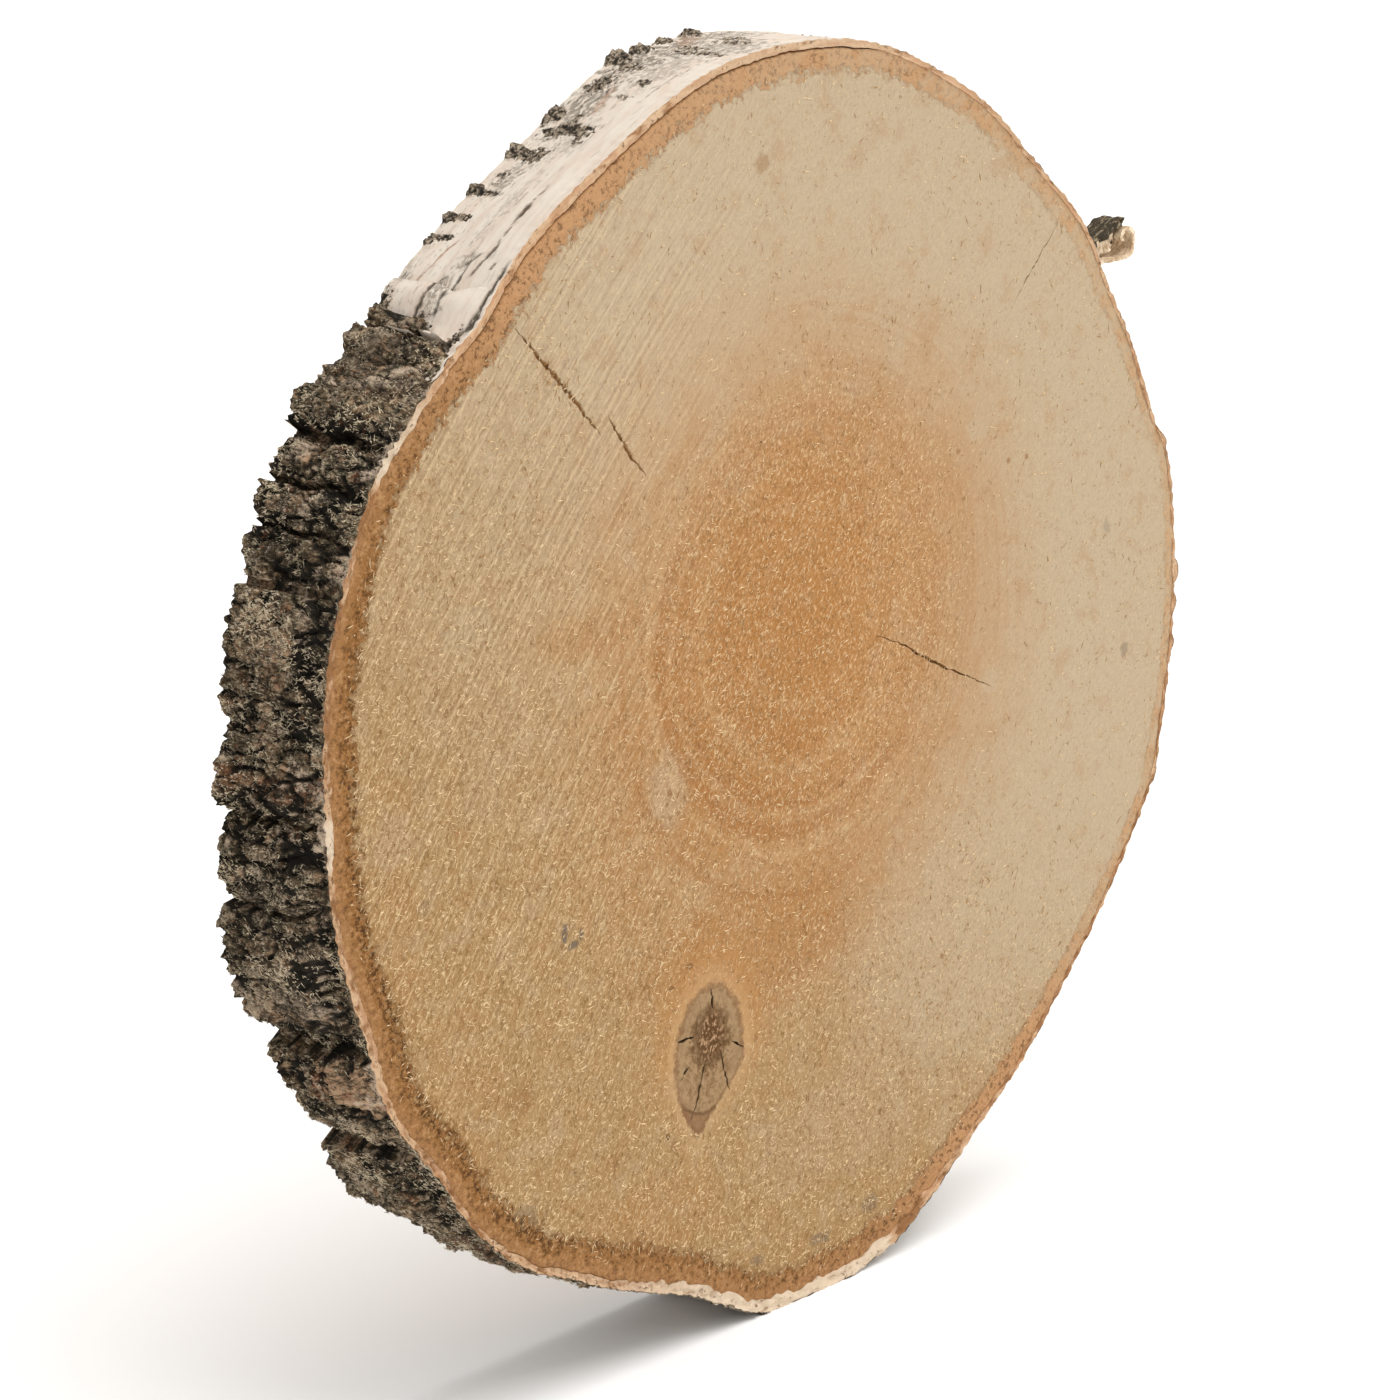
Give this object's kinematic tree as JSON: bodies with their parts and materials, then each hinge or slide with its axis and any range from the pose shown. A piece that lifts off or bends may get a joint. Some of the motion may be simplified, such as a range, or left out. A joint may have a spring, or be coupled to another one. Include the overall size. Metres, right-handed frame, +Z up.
{
  "type": "wood slice",
  "caption": "Round slice of a birch trunk, sawn across the grain, with its bark on, standing on a small worn flat of its edge.",
  "frame": {"origin": "middle of the bounding box at the surface that the slice stands on", "axes": "+Z up, -Y out of the front sawn face, +X to the right as the front face is seen"},
  "size_m": [0.2653, 0.0262, 0.2648],
  "materials": {
    "birch_wood": "raw sawn end grain, dry and matt, with fine saw fibres",
    "birch_bark": "rough old bark, dark grey-brown, with smooth cream papery bark at the top"
  },
  "bodies": {
    "root": {"wood_slice": "birch_wood"}
  },
  "joints": []
}
